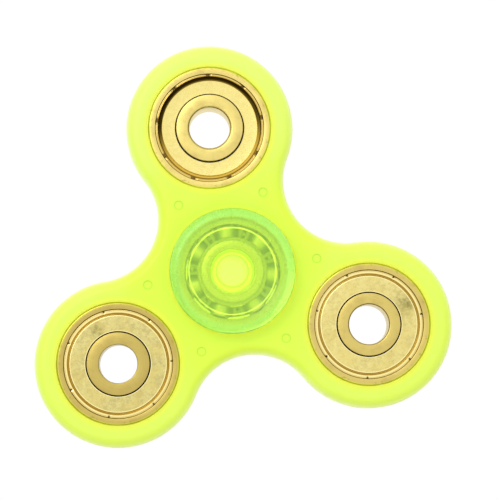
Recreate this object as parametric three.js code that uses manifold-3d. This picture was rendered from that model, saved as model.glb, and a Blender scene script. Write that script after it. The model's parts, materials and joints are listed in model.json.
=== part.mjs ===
// A three-armed hand spinner.
// A moulded plastic body turns on an open centre ball bearing, whose inner ring is held between two
// finger caps. A shielded ball bearing sits in the end of each arm as a weight.
// Millimetres. +Z is the spin axis, +Y runs through the first arm, and the origin is on the spin
// axis midway between the body's two faces.
import * as THREE from 'three';
import { mergeVertices } from 'three/addons/utils/BufferGeometryUtils.js';
import Module from 'manifold-3d';

const wasm = await Module();
wasm.setup();

// Ball bearings: one outside size for all; the weights' smaller bores are in their table below.
const BEARING_DIAMETER = 22;
const BEARING_WIDTH = 7;
const CENTRE_BORE = 8;
const BALL_DIAMETER = 3.969;
const BALL_COUNT = 7;
const RING_CHAMFER = 0.3;

// Races, shields and cages inside a bearing.
const RACE_CLEARANCE = 0.12;
const GROOVE_OPENING = 0.17;
const INNER_LAND_DEPTH = 0.65;
const OUTER_LAND_DEPTH = 0.8;
const SHIELD_SEAT_DEPTH = 0.9;
const SHIELD_SEAT_STEP = 0.05;
const SHIELD_SEAT_GAP = 0.05;
const SHIELD_RIM_INSET = 0.2;
const SHIELD_RIM_WIDTH = 0.45;
const SHIELD_STEP_WIDTH = 0.3;
const SHIELD_SHEET = 0.25;
const SHIELD_BORE_GAP = 0.1;
const LABYRINTH_DEPTH = 1.15;
const CAGE_SHEET = 0.2;
const CAGE_CLEARANCE = 0.12;
const CAGE_LAND_GAP = 0.15;
const CAGE_HALF_GAP = 0.1;
const CAGE_SHIELD_GAP = 0.1;

// Moulded body.
const BODY_THICKNESS = 7;
const BODY_EDGE_ROUND = 2;
const SEAT_CLEARANCE = 0.12;
const RIM_WALL = 3.88;
const WEB_WALL = 3.96;
const WAIST_WALL = 3.96;
const ARM_COUNT = 3;

// Finger caps.
const CAP_DIAMETER = 22.6;
const CAP_THICKNESS = 3.2;
const CAP_STANDOFF = 0.6;
const CAP_EDGE_ROUND = 1.3;
const CAP_LIP_WIDTH = 0.7;
const CAP_DISH_DEPTH = 0.7;
const CAP_BOSS_DIAMETER = 15.8;
const CAP_BOSS_HEIGHT = 0.3;
const STEM_CLEARANCE = 0.12;
const STEM_BORE = 6;
const STEM_END_GAP = 0.3;
const SHOULDER_WIDTH = 1.1;
const SHOULDER_GAP = 0.05;

// A labyrinth step is the rebate in an inner ring's face that a shield reaches into. The centre
// bearing has one too, though its shields have been taken out so that it spins freely.
const CENTRE_LABYRINTH_STEP = 0.35;

// The three weight bearings, of three makes. The first has no labyrinth step, and its shields sit
// deeper.
const WEIGHTS = [
  { name: 'weight1', bore: 7.4, labyrinthStep: 0, shieldInset: 0.6 },
  { name: 'weight2', bore: 7, labyrinthStep: 0.4, shieldInset: 0.35 },
  { name: 'weight3', bore: 7.2, labyrinthStep: 0.4, shieldInset: 0.35 },
];

// Facets of round shapes.
const OUTER_RING_SEGMENTS = 28;
const INNER_RING_SEGMENTS = 24;
const SEAT_SEGMENTS = 40;
const CAP_SEGMENTS = 30;
const LOBE_SEGMENTS = 20;
const WAIST_SEGMENTS = 8;
const EDGE_SEGMENTS = 3;
const BALL_DETAIL = 1;
const CUT_OVERRUN = 1;

// Worked out from the sizes above.
const bearingRadius = BEARING_DIAMETER / 2;
const halfWidth = BEARING_WIDTH / 2;
const ballRadius = BALL_DIAMETER / 2;
const pitchRadius = (CENTRE_BORE + BEARING_DIAMETER) / 4;
const seatRadius = bearingRadius + SEAT_CLEARANCE;
const armLength = 2 * seatRadius + WEB_WALL;
const lobeRadius = seatRadius + RIM_WALL;
const waistRadius = seatRadius + WAIST_WALL;
const grooveRadius = ballRadius + GROOVE_OPENING;
const outerRace = pitchRadius + ballRadius + RACE_CLEARANCE;
const innerRace = pitchRadius - ballRadius - RACE_CLEARANCE;
const outerLand = outerRace - OUTER_LAND_DEPTH;
const innerLand = innerRace + INNER_LAND_DEPTH;
const shieldSeat = outerRace + SHIELD_SEAT_STEP;
const cageCrest = ballRadius + CAGE_CLEARANCE + CAGE_SHEET;
const deckHeight = Math.max(BEARING_WIDTH, BODY_THICKNESS) / 2;

const METAL = { gold: 0xe0c878, steel: 0xb9bcc0, cage: 0xc9b98a };

const metal = (color) => new THREE.MeshStandardMaterial({ color, roughness: 0.25, metalness: 1 });
const plastic = (color) => new THREE.MeshStandardMaterial({ color, roughness: 0.35, metalness: 0 });

const spinner = new THREE.Group();

function addPiece(name, geometry, material, place = [0, 0, 0]) {
  const mesh = new THREE.Mesh(geometry, material);
  mesh.name = name;
  mesh.position.set(...place);
  spinner.add(mesh);
}

// Turns a profile of [radius, height] points about the Z axis.
function revolve(profile, segments) {
  const points = profile.map(([radius, height]) => new THREE.Vector2(radius, height));
  const geometry = new THREE.LatheGeometry(points, segments);
  geometry.rotateX(Math.PI / 2);
  return geometry;
}

// A ring's profile has to end where it starts.
function revolveRing(profile, segments) {
  const distinct = profile.filter(([radius, height], i) => {
    const [lastRadius, lastHeight] = profile.at(i - 1);
    return radius !== lastRadius || height !== lastHeight;
  });
  return revolve([...distinct, distinct[0]], segments);
}

function toSolid(geometry) {
  const bare = geometry.clone();
  bare.deleteAttribute('normal');
  bare.deleteAttribute('uv');
  const merged = mergeVertices(bare);
  return new wasm.Manifold(new wasm.Mesh({
    numProp: 3,
    vertProperties: new Float32Array(merged.attributes.position.array),
    triVerts: new Uint32Array(merged.index.array),
  }));
}

function toGeometry(solid) {
  const { vertProperties, triVerts } = solid.getMesh();
  const geometry = new THREE.BufferGeometry();
  geometry.setAttribute('position', new THREE.BufferAttribute(vertProperties, 3));
  geometry.setIndex(new THREE.BufferAttribute(triVerts, 1));
  return geometry;
}

// Where the arms lie: the first on +Y, then anticlockwise seen from above.
const armAngle = (arm) => Math.PI / 2 + (arm * 2 * Math.PI) / ARM_COUNT;
const onCircle = (radius, angle) => [radius * Math.cos(angle), radius * Math.sin(angle)];

// The outline is a round lobe at each arm's end and a hollow arc between lobes. The hollow arc
// touches both lobes and comes as near to the spin axis as the waist radius.
function bodyOutline() {
  const halfStep = Math.PI / ARM_COUNT;
  const reach = armLength * Math.cos(halfStep);
  const hollowRadius = (armLength ** 2 + waistRadius ** 2 - 2 * reach * waistRadius - lobeRadius ** 2)
    / (2 * (lobeRadius + reach - waistRadius));
  const hollowCentre = waistRadius + hollowRadius;
  const [toHollowX, toHollowY] = [
    hollowCentre * Math.cos(halfStep) - armLength,
    hollowCentre * Math.sin(halfStep),
  ];
  const tangentAngle = Math.atan2(toHollowY, toHollowX);
  const halfArc = tangentAngle - halfStep;
  const points = [];
  const addArc = ([x, y], radius, start, end, segments) => {
    for (let i = 0; i < segments; i += 1) {
      const angle = start + ((end - start) * i) / segments;
      points.push(new THREE.Vector2(x + radius * Math.cos(angle), y + radius * Math.sin(angle)));
    }
  };
  for (let arm = 0; arm < ARM_COUNT; arm += 1) {
    const along = armAngle(arm);
    const lobeCentre = onCircle(armLength, along);
    addArc(lobeCentre, lobeRadius, along - tangentAngle, along + tangentAngle, LOBE_SEGMENTS);
    const between = along + halfStep;
    const facing = between + Math.PI;
    addArc(onCircle(hollowCentre, between), hollowRadius, facing + halfArc, facing - halfArc,
      WAIST_SEGMENTS);
  }
  return points;
}

function spinnerBody() {
  const slab = new THREE.ExtrudeGeometry(new THREE.Shape(bodyOutline()), {
    depth: BODY_THICKNESS - 2 * BODY_EDGE_ROUND,
    bevelThickness: BODY_EDGE_ROUND,
    bevelSize: BODY_EDGE_ROUND,
    bevelOffset: -BODY_EDGE_ROUND,
    bevelSegments: EDGE_SEGMENTS,
  });
  slab.translate(0, 0, BODY_EDGE_ROUND - BODY_THICKNESS / 2);
  const seatLength = BODY_THICKNESS + 2 * CUT_OVERRUN;
  const seatCut = (x, y) => {
    const cut = new THREE.CylinderGeometry(seatRadius, seatRadius, seatLength, SEAT_SEGMENTS);
    cut.rotateX(Math.PI / 2);
    cut.translate(x, y, 0);
    return toSolid(cut);
  };
  let body = toSolid(slab).subtract(seatCut(0, 0));
  for (let arm = 0; arm < ARM_COUNT; arm += 1) {
    body = body.subtract(seatCut(...onCircle(armLength, armAngle(arm))));
  }
  return toGeometry(body);
}

// Points of a race groove's arc between its two lands, for a groove on the side given by sign.
function grooveArc(raceRadius, landRadius, sign) {
  const centre = raceRadius - sign * grooveRadius;
  const edge = Math.acos((sign * (landRadius - centre)) / grooveRadius);
  return [-1, -0.5, 0, 0.5, 1].map((share) => [
    centre + sign * grooveRadius * Math.cos(share * edge),
    sign * grooveRadius * Math.sin(share * edge),
  ]);
}

function outerRing() {
  const seatFloor = halfWidth - SHIELD_SEAT_DEPTH;
  return revolveRing([
    [bearingRadius, -halfWidth + RING_CHAMFER],
    [bearingRadius, halfWidth - RING_CHAMFER],
    [bearingRadius - RING_CHAMFER, halfWidth],
    [shieldSeat, halfWidth],
    [shieldSeat, seatFloor],
    [outerLand, seatFloor],
    ...grooveArc(outerRace, outerLand, 1).reverse(),
    [outerLand, -seatFloor],
    [shieldSeat, -seatFloor],
    [shieldSeat, -halfWidth],
    [bearingRadius - RING_CHAMFER, -halfWidth],
  ], OUTER_RING_SEGMENTS);
}

function innerRing(bore, labyrinthStep) {
  const boreRadius = bore / 2;
  const faceRadius = innerLand - labyrinthStep;
  const stepHeight = halfWidth - LABYRINTH_DEPTH * Math.sign(labyrinthStep);
  return revolveRing([
    [boreRadius, halfWidth - RING_CHAMFER],
    [boreRadius, -halfWidth + RING_CHAMFER],
    [boreRadius + RING_CHAMFER, -halfWidth],
    [faceRadius, -halfWidth],
    [faceRadius, -stepHeight],
    [innerLand, -stepHeight],
    ...grooveArc(innerRace, innerLand, -1).reverse(),
    [innerLand, stepHeight],
    [faceRadius, stepHeight],
    [faceRadius, halfWidth],
    [boreRadius + RING_CHAMFER, halfWidth],
  ], INNER_RING_SEGMENTS);
}

// A pressed sheet shield: a flat disc round the inner ring, stepping down to a rim that is
// crimped into the outer ring's seat. It is inset from the ring's face, but always clears the cage.
// Side is 1 for the upper shield and -1 for the lower.
function shield(labyrinthStep, inset, side) {
  const boreRadius = innerLand - labyrinthStep + SHIELD_BORE_GAP;
  const flatTop = Math.max(halfWidth - inset, cageCrest + CAGE_SHIELD_GAP + SHIELD_SHEET);
  const rimOuter = shieldSeat - SHIELD_SEAT_GAP;
  const rimInner = rimOuter - SHIELD_RIM_WIDTH;
  const rimTop = halfWidth - SHIELD_RIM_INSET;
  const rimFoot = halfWidth - SHIELD_SEAT_DEPTH + SHIELD_SEAT_GAP;
  const flatEdge = rimInner - SHIELD_STEP_WIDTH;
  const profile = [
    [boreRadius, flatTop - SHIELD_SHEET],
    [flatEdge, flatTop - SHIELD_SHEET],
    [rimInner, rimFoot],
    [rimOuter, rimFoot],
    [rimOuter, rimTop],
    [rimInner, rimFoot + SHIELD_SHEET],
    [flatEdge, flatTop],
    [boreRadius, flatTop],
  ];
  const placed = profile.map(([radius, height]) => [radius, side * height]);
  return revolveRing(side > 0 ? placed : placed.reverse(), OUTER_RING_SEGMENTS);
}

// One half of a pressed ribbon cage: flat webs between the balls, and an eight-sided arch over
// each ball. A square-section ring is turned, then each of its sections is moved to its station.
function cageHalf(side) {
  const inside = innerLand + CAGE_LAND_GAP;
  const outside = outerLand - CAGE_LAND_GAP;
  const pocket = ballRadius + CAGE_CLEARANCE;
  const corner = Math.tan(Math.PI / 8);
  const web = CAGE_HALF_GAP / 2;
  const foot = pocket + 1.5 * CAGE_SHEET;
  const shoulderTop = corner * pocket + 1.5 * CAGE_SHEET;
  const halfArch = [
    { across: corner * pocket, low: pocket, high: pocket + CAGE_SHEET },
    { across: pocket, low: corner * pocket, high: shoulderTop },
    { across: foot, low: web, high: web + CAGE_SHEET },
  ];
  const mirrored = halfArch.map((station) => ({ ...station, across: -station.across }));
  const stations = [...mirrored.reverse(), ...halfArch];
  const geometry = revolveRing(
    [[inside, 0], [outside, 0], [outside, CAGE_SHEET], [inside, CAGE_SHEET]],
    stations.length * BALL_COUNT,
  );
  const corners = [
    ({ low }) => [inside, low],
    ({ low }) => [outside, low],
    ({ high }) => [outside, high],
    ({ high }) => [inside, high],
    ({ low }) => [inside, low],
  ];
  const position = geometry.attributes.position;
  for (let i = 0; i < position.count; i += 1) {
    const section = Math.floor(i / corners.length) % (stations.length * BALL_COUNT);
    const station = stations[section % stations.length];
    const ball = Math.floor(section / stations.length);
    const angle = ballAngle(ball) + Math.asin(station.across / pitchRadius);
    const [radius, height] = corners[i % corners.length](station);
    position.setXYZ(i, ...onCircle(radius, angle), height);
  }
  if (side < 0) {
    geometry.rotateY(Math.PI);
  }
  return geometry;
}

// Balls are numbered anticlockwise from +Y, as the cage's sections are.
const ballAngle = (ball) => Math.PI / 2 + (ball * 2 * Math.PI) / BALL_COUNT;

function addBearing(name, bore, labyrinthStep, [x, y], material) {
  const place = [x, y, 0];
  addPiece(`${name}_outer_ring`, outerRing(), material, place);
  addPiece(`${name}_inner_ring`, innerRing(bore, labyrinthStep), material, place);
  addPiece(`${name}_upper_cage_half`, cageHalf(1), metal(METAL.cage), place);
  addPiece(`${name}_lower_cage_half`, cageHalf(-1), metal(METAL.cage), place);
  for (let ball = 0; ball < BALL_COUNT; ball += 1) {
    const [ballX, ballY] = onCircle(pitchRadius, ballAngle(ball));
    const sphere = new THREE.IcosahedronGeometry(ballRadius, BALL_DETAIL);
    addPiece(`${name}_ball_${ball + 1}`, sphere, metal(METAL.steel), [x + ballX, y + ballY, 0]);
  }
}

// A finger cap: a hollow stem that plugs the centre bearing's bore, a shoulder that stands on the
// inner ring alone, and a dished disc that clears the body.
function fingerCap(side) {
  const radius = CAP_DIAMETER / 2;
  const stemRadius = CENTRE_BORE / 2 - STEM_CLEARANCE;
  const boreRadius = STEM_BORE / 2;
  const bossRadius = CAP_BOSS_DIAMETER / 2;
  const shoulder = stemRadius + SHOULDER_WIDTH;
  const shoulderFace = halfWidth + SHOULDER_GAP;
  const bossFace = deckHeight + CAP_STANDOFF;
  const underside = bossFace + CAP_BOSS_HEIGHT;
  const top = bossFace + CAP_THICKNESS;
  const dishFloor = top - CAP_DISH_DEPTH;
  const lipInner = radius - CAP_EDGE_ROUND - CAP_LIP_WIDTH;
  const edgeArc = (centreHeight, start, end) => [0, 0.5, 1].map((share) => {
    const angle = start + (end - start) * share;
    return [
      radius - CAP_EDGE_ROUND + CAP_EDGE_ROUND * Math.cos(angle),
      centreHeight + CAP_EDGE_ROUND * Math.sin(angle),
    ];
  });
  const profile = [
    [0, bossFace],
    [boreRadius, bossFace],
    [boreRadius, STEM_END_GAP / 2],
    [stemRadius, STEM_END_GAP / 2],
    [stemRadius, shoulderFace],
    [shoulder, shoulderFace],
    [shoulder, bossFace],
    [bossRadius, bossFace],
    [bossRadius, underside],
    ...edgeArc(underside + CAP_EDGE_ROUND, -Math.PI / 2, 0),
    ...edgeArc(top - CAP_EDGE_ROUND, 0, Math.PI / 2),
    [lipInner, top],
    [lipInner / 2, dishFloor + CAP_DISH_DEPTH / 4],
    [0, dishFloor],
  ];
  const placed = profile.map(([r, height]) => [r, side * height]);
  return revolve(side > 0 ? placed : placed.reverse(), CAP_SEGMENTS);
}

addPiece('spinner_body', spinnerBody(), plastic(0xe2fa55));
addPiece('upper_cap', fingerCap(1), plastic(0xb4ec6a));
addPiece('lower_cap', fingerCap(-1), plastic(0xb4ec6a));
addBearing('centre', CENTRE_BORE, CENTRE_LABYRINTH_STEP, [0, 0], metal(METAL.steel));
WEIGHTS.forEach(({ name, bore, labyrinthStep, shieldInset }, arm) => {
  const place = onCircle(armLength, armAngle(arm));
  addBearing(name, bore, labyrinthStep, place, metal(METAL.gold));
  for (const [label, side] of [['upper', 1], ['lower', -1]]) {
    const sheet = shield(labyrinthStep, shieldInset, side);
    addPiece(`${name}_${label}_shield`, sheet, metal(METAL.gold), [...place, 0]);
  }
});

export default spinner;
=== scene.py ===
# %% [markdown]
# # A three-armed hand spinner
# The spinner is a flat moulded body that turns on a ball bearing held between two finger caps.
# A gold-plated ball bearing is pressed into the end of each arm to give it weight. This lesson
# models each piece the way it is made: rings are turned, sheets are pressed, plastic is moulded.

# %% Load the frame
import json
import math

import bpy
from mathutils import Matrix, Vector


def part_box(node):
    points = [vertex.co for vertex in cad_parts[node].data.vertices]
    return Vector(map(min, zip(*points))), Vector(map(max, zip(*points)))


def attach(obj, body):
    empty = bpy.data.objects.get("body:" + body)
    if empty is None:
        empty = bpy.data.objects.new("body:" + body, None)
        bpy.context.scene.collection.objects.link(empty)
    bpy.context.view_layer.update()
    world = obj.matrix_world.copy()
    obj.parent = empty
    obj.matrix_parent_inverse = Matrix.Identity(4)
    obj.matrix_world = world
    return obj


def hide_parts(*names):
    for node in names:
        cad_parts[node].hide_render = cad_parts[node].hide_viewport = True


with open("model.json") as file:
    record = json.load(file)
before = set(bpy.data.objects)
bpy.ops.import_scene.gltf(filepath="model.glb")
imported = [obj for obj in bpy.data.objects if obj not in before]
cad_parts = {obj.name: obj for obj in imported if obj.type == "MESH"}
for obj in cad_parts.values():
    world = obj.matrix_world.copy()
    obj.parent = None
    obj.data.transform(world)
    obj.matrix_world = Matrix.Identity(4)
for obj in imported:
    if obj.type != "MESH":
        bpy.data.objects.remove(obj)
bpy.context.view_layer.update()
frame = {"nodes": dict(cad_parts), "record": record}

MM = 0.001

# %% [markdown]
# ## Sizes
# The frame says where everything sits: the middle of each bearing's box is its axis, and half the
# box is its radius. Only the sizes inside a bearing, which a box can't show, are written here.

# %% Read the main sizes from the frame
WEIGHTS = ("weight1", "weight2", "weight3")


def middle(node):
    low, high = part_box(node)
    return (low + high) / 2


RING_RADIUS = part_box("centre_outer_ring")[1].x / MM
HALF_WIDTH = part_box("centre_outer_ring")[1].z / MM
BODY_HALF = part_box("spinner_body")[1].z / MM
CAP_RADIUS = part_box("upper_cap")[1].x / MM
CAP_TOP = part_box("upper_cap")[1].z / MM
AXES = {name: middle(f"{name}_outer_ring") / MM for name in WEIGHTS}
ARM_LENGTH = AXES["weight1"].length
print(f"bearings {2 * RING_RADIUS:.2f} x {2 * HALF_WIDTH:.2f} mm, arms {ARM_LENGTH:.2f} mm long")

# %% [markdown]
# Seven balls run in grooves a little rounder than themselves. A land is the plain wall beside a
# groove, the ledge is the step on the inner ring that the shield reaches over, and the seat is
# the pocket in the outer ring that the shield is crimped into. Lands, ledge and seat are radii.

# %% Sizes inside the bearings, in millimetres
PITCH_RADIUS = 7.5
BALL_RADIUS = 3.969 / 2
BALL_COUNT = 7
RACE_CLEARANCE = 0.05
GROOVE_RADIUS = 2.1
INNER_LAND = 6.05
OUTER_LAND = 8.8
LEDGE = 6.35
LEDGE_DEPTH = 1.15
LEDGE_THICKNESS = 0.3
SHIELD_SEAT = 9.78
SHIELD_SEAT_DEPTH = 0.9
SHEET = 0.2
print(f"{BALL_COUNT} balls of {2 * BALL_RADIUS:.3f} mm on a {2 * PITCH_RADIUS:.0f} mm circle")

# %% [markdown]
# ## Working in edit mode from a script
# An operator acts on whatever is selected and active, so each job starts from nothing selected.
# Selecting by a rule, such as all edges above a height, replaces clicking on them. Sizes stay in
# millimetres here and are turned into Blender's metres only where an operator is called.

# %% Helpers for selecting
MERGE_WITHIN = 0.002


def deselect_all():
    bpy.ops.object.select_all(action="DESELECT")


def make_active(piece):
    deselect_all()
    piece.select_set(True)
    bpy.context.view_layer.objects.active = piece


def leave_edit():
    if bpy.context.object and bpy.context.object.mode == "EDIT":
        bpy.ops.object.mode_set(mode="OBJECT")


def edit_all(piece):
    make_active(piece)
    bpy.ops.object.mode_set(mode="EDIT")
    bpy.ops.mesh.select_mode(type="VERT")
    bpy.ops.mesh.select_all(action="SELECT")


def choose(piece, kind, is_chosen):
    """Selects the vertices, edges or faces that is_chosen says yes to, and enters edit mode."""
    leave_edit()
    make_active(piece)
    bpy.context.tool_settings.mesh_select_mode = (kind == "VERT", kind == "EDGE", kind == "FACE")
    kinds = {"VERT": piece.data.vertices, "EDGE": piece.data.edges, "FACE": piece.data.polygons}
    for parts in kinds.values():
        parts.foreach_set("select", [False] * len(parts))
    for part in kinds[kind]:
        part.select = is_chosen(part)
    bpy.ops.object.mode_set(mode="EDIT")


def ends(piece, edge):
    """An edge's two ends, in millimetres."""
    return [piece.data.vertices[index].co / MM for index in edge.vertices]


def merge_doubles():
    bpy.ops.mesh.select_all(action="SELECT")
    bpy.ops.mesh.remove_doubles(threshold=MERGE_WITHIN * MM)


print(f"vertices closer than {MERGE_WITHIN} mm will be merged")


# %% Helpers for starting, finishing and measuring a piece
SHARP_DEGREES = 32


def start_vertex(name, place):
    """Leaves one vertex at this place, in millimetres, with its new object in edit mode."""
    deselect_all()
    bpy.ops.mesh.primitive_plane_add(size=MM)
    piece = bpy.context.active_object
    piece.name = name
    bpy.ops.object.mode_set(mode="EDIT")
    bpy.ops.mesh.select_mode(type="VERT")
    bpy.ops.mesh.merge(type="CENTER")
    bpy.ops.transform.translate(value=[coordinate * MM for coordinate in place])
    return piece


def apply_modifier(piece, kind, **settings):
    make_active(piece)
    modifier = piece.modifiers.new(kind.title(), kind)
    for name, value in settings.items():
        setattr(modifier, name, value)
    bpy.ops.object.modifier_apply(modifier=modifier.name)


def smooth(piece, degrees=SHARP_DEGREES):
    """Smooths all but the sharp edges, and lets the large faces keep their own direction."""
    make_active(piece)
    bpy.ops.object.shade_smooth_by_angle(angle=math.radians(degrees))
    apply_modifier(piece, "WEIGHTED_NORMAL", keep_sharp=True)


def report(piece):
    size = [round(side / MM, 2) for side in piece.dimensions]
    print(f"{piece.name}: {len(piece.data.polygons)} faces, {size} mm")
    return piece


print(f"edges of {SHARP_DEGREES} degrees or more will stay sharp")

# %% [markdown]
# ## Drawing and turning a section
# A lathe part is one outline swept round an axis. To draw the outline by hand, a plane is
# collapsed to one vertex, that vertex is extruded for each straight stretch, and spun about a
# point for each rounded one. Spinning the finished outline round the axis makes the solid. The
# Screw modifier could do the last step too, but Spin leaves plain mesh to work on at once.

# %% Draw an outline beside an axis and turn it
RING_STEPS = 252
PLAIN_ARC = 15
TINY_ARC = 30
FINE_ARC = 9


class Section:
    """An outline drawn upright beside the Z axis, in millimetres of radius and height."""

    def __init__(self, name, radius, height):
        self.piece = start_vertex(name, (radius, 0, height))
        self.at = (radius, height)

    def line(self, radius, height):
        step = ((radius - self.at[0]) * MM, 0, (height - self.at[1]) * MM)
        bpy.ops.mesh.extrude_region_move(TRANSFORM_OT_translate={"value": step})
        self.at = (radius, height)
        return self

    def arc(self, radius, height, degrees, step=PLAIN_ARC):
        """Sweeps anticlockwise, for positive degrees, about a centre at this radius and height."""
        turn = math.radians(degrees)
        count = max(2, math.ceil(abs(degrees) / step))
        centre = (radius * MM, 0, height * MM)
        bpy.ops.mesh.spin(steps=count, angle=turn, center=centre, axis=(0, 1, 0))
        across, up = self.at[0] - radius, self.at[1] - height
        cos, sin = math.cos(turn), math.sin(turn)
        self.at = (radius + across * cos - up * sin, height + across * sin + up * cos)
        return self

    def bend(self, radius, degrees_before, degrees_after, step=PLAIN_ARC):
        """Rounds a bend of the given radius, from one travel direction to the next, in degrees."""
        turn = degrees_after - degrees_before
        side = math.radians(degrees_before + math.copysign(90, turn))
        centre = (self.at[0] + radius * math.cos(side), self.at[1] + radius * math.sin(side))
        return self.arc(*centre, turn, step)

    def turn(self, steps=RING_STEPS, sharp=SHARP_DEGREES):
        merge_doubles()
        bpy.ops.mesh.spin(steps=steps, angle=math.tau, center=(0, 0, 0), axis=(0, 0, 1))
        merge_doubles()
        bpy.ops.mesh.normals_make_consistent(inside=False)
        leave_edit()
        smooth(self.piece, sharp)
        return self.piece


print(f"rings are turned in {RING_STEPS} steps, {RING_STEPS // BALL_COUNT} from ball to ball")

# %% [markdown]
# ## Bearing rings
# Both rings are turned and ground from bar. The outer ring has a race groove inside, a seat for a
# shield at each end, and softened corners. The section is drawn from the outside, over the top
# face, down the inside and back along the bottom.


# %% Outer ring
def groove_height(land, race, sign):
    """How far from mid-thickness a race groove meets its land."""
    return math.sqrt(GROOVE_RADIUS ** 2 - (GROOVE_RADIUS - sign * (race - land)) ** 2)


def turn_outer_ring(name):
    race = PITCH_RADIUS + BALL_RADIUS + RACE_CLEARANCE
    seat_floor = HALF_WIDTH - SHIELD_SEAT_DEPTH
    groove_edge = groove_height(OUTER_LAND, race, 1)
    half_angle = math.degrees(math.asin(groove_edge / GROOVE_RADIUS))
    corner, lip = 0.3, 0.06
    ring = Section(name, RING_RADIUS, -HALF_WIDTH + corner)
    ring.line(RING_RADIUS, HALF_WIDTH - corner).arc(RING_RADIUS - corner, HALF_WIDTH - corner, 90)
    ring.line(SHIELD_SEAT + lip, HALF_WIDTH).arc(SHIELD_SEAT + lip, HALF_WIDTH - lip, 90, TINY_ARC)
    ring.line(SHIELD_SEAT, seat_floor).line(OUTER_LAND, seat_floor).line(OUTER_LAND, groove_edge)
    ring.arc(race - GROOVE_RADIUS, 0, -2 * half_angle, FINE_ARC)
    ring.line(OUTER_LAND, -seat_floor).line(SHIELD_SEAT, -seat_floor)
    ring.line(SHIELD_SEAT, -HALF_WIDTH + lip).arc(SHIELD_SEAT + lip, -HALF_WIDTH + lip, 90, TINY_ARC)
    ring.line(RING_RADIUS - corner, -HALF_WIDTH).arc(RING_RADIUS - corner, -HALF_WIDTH + corner, 90)
    return report(ring.turn())


outer_ring = turn_outer_ring("fine_centre_outer_ring")

# %% [markdown]
# The inner ring's groove is on its outside, and its bore is rounded at both ends, which shows as
# a bright band round the hole. Its face is a step narrower than the ledge below, so that the
# shield's edge reaches over the ledge and keeps dirt out. That gap reads as a dark line from
# above. The weights' rings differ a little in bore and rounding, as parts of several batches do.


# %% Inner rings
def turn_inner_ring(name, bore, rounding, step):
    race = PITCH_RADIUS - BALL_RADIUS - RACE_CLEARANCE
    face = INNER_LAND - step
    ledge_top = HALF_WIDTH - LEDGE_DEPTH
    ledge_foot = ledge_top - LEDGE_THICKNESS
    groove_edge = groove_height(INNER_LAND, race, -1)
    half_angle = math.degrees(math.asin(groove_edge / GROOVE_RADIUS))
    lip = 0.08
    ring = Section(name, face, HALF_WIDTH - lip)
    ring.arc(face - lip, HALF_WIDTH - lip, 90, TINY_ARC).line(bore + rounding, HALF_WIDTH)
    ring.arc(bore + rounding, HALF_WIDTH - rounding, 90).line(bore, -HALF_WIDTH + rounding)
    ring.arc(bore + rounding, -HALF_WIDTH + rounding, 90)
    ring.line(face - lip, -HALF_WIDTH).arc(face - lip, -HALF_WIDTH + lip, 90, TINY_ARC)
    ring.line(face, -ledge_top).line(LEDGE, -ledge_top).line(LEDGE, -ledge_foot)
    ring.line(INNER_LAND, -ledge_foot).line(INNER_LAND, -groove_edge)
    ring.arc(race + GROOVE_RADIUS, 0, -2 * half_angle, FINE_ARC).line(INNER_LAND, ledge_foot)
    ring.line(LEDGE, ledge_foot).line(LEDGE, ledge_top).line(face, ledge_top)
    ring.line(face, HALF_WIDTH - lip)
    return report(ring.turn())


inner_rings = {
    "centre": turn_inner_ring("fine_centre_inner_ring", bore=4.0, rounding=0.3, step=0.35),
    "weight1": turn_inner_ring("fine_weight1_inner_ring", bore=3.65, rounding=0.48, step=0.06),
    "weight2": turn_inner_ring("fine_weight2_inner_ring", bore=3.44, rounding=0.16, step=0.42),
    "weight3": turn_inner_ring("fine_weight3_inner_ring", bore=3.56, rounding=0.34, step=0.42),
}

# %% [markdown]
# ## Balls
# A sphere from rings and segments crowds its faces at two poles. Subdividing a cube and pushing
# it to a sphere gives even faces all over, so highlights stay clean wherever a ball rolls.

# %% One ball, at the top of the pitch circle
BALL_CUTS = 9
deselect_all()
bpy.ops.mesh.primitive_cube_add(size=2 * BALL_RADIUS * MM)
ball = bpy.context.active_object
ball.name = "fine_centre_ball_1"
bpy.ops.object.mode_set(mode="EDIT")
bpy.ops.mesh.subdivide(number_cuts=BALL_CUTS)
bpy.ops.transform.tosphere(value=1.0)
leave_edit()
ball_size = ball.data.vertices[0].co.length
edit_all(ball)
bpy.ops.transform.resize(value=(BALL_RADIUS * MM / ball_size,) * 3)
bpy.ops.transform.translate(value=(0, PITCH_RADIUS * MM, 0))
leave_edit()
smooth(ball, degrees=60)
report(ball)

# %% [markdown]
# ## Ribbon cage
# The cage keeps the balls apart. It is two pressed ribbons riveted together between the balls,
# each arching over every ball. A flat ring is turned first, then its vertices are raised, slice
# by slice, to the height of an arch over the nearest ball, and the ribbon gets its thickness.

# %% Turn the flat ribbon
CAGE_INNER = LEDGE + 0.12
CAGE_OUTER = OUTER_LAND - 0.4
CAGE_CLEARANCE = 0.1
CAGE_WEB = 0.04
ribbon = Section("fine_centre_upper_cage_half", CAGE_INNER, CAGE_WEB)
cage = ribbon.line(CAGE_OUTER, CAGE_WEB).turn()
print("flat ribbon:", len(cage.data.polygons), "faces")


# %% Arch it over each ball
def angle_from_ball(place):
    """The angle between a place and the nearest ball, the first ball lying on +Y."""
    pitch = math.tau / BALL_COUNT
    angle = math.atan2(place.x, place.y) % pitch
    return min(angle, pitch - angle)


slice_angle = math.tau / RING_STEPS
slices_to_web = RING_STEPS // BALL_COUNT // 2
arch_radius = BALL_RADIUS + CAGE_CLEARANCE
for slice_number in range(slices_to_web + 1):
    turned = slice_number * slice_angle
    offset = PITCH_RADIUS * math.sin(turned)
    if offset < arch_radius:
        rise = math.sqrt(arch_radius ** 2 - offset ** 2) - CAGE_WEB
        choose(cage, "VERT", lambda vertex: abs(angle_from_ball(vertex.co) - turned) < slice_angle / 4)
        bpy.ops.transform.translate(value=(0, 0, rise * MM))
leave_edit()
apply_modifier(cage, "SOLIDIFY", thickness=SHEET * MM, offset=1)
report(cage)

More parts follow.
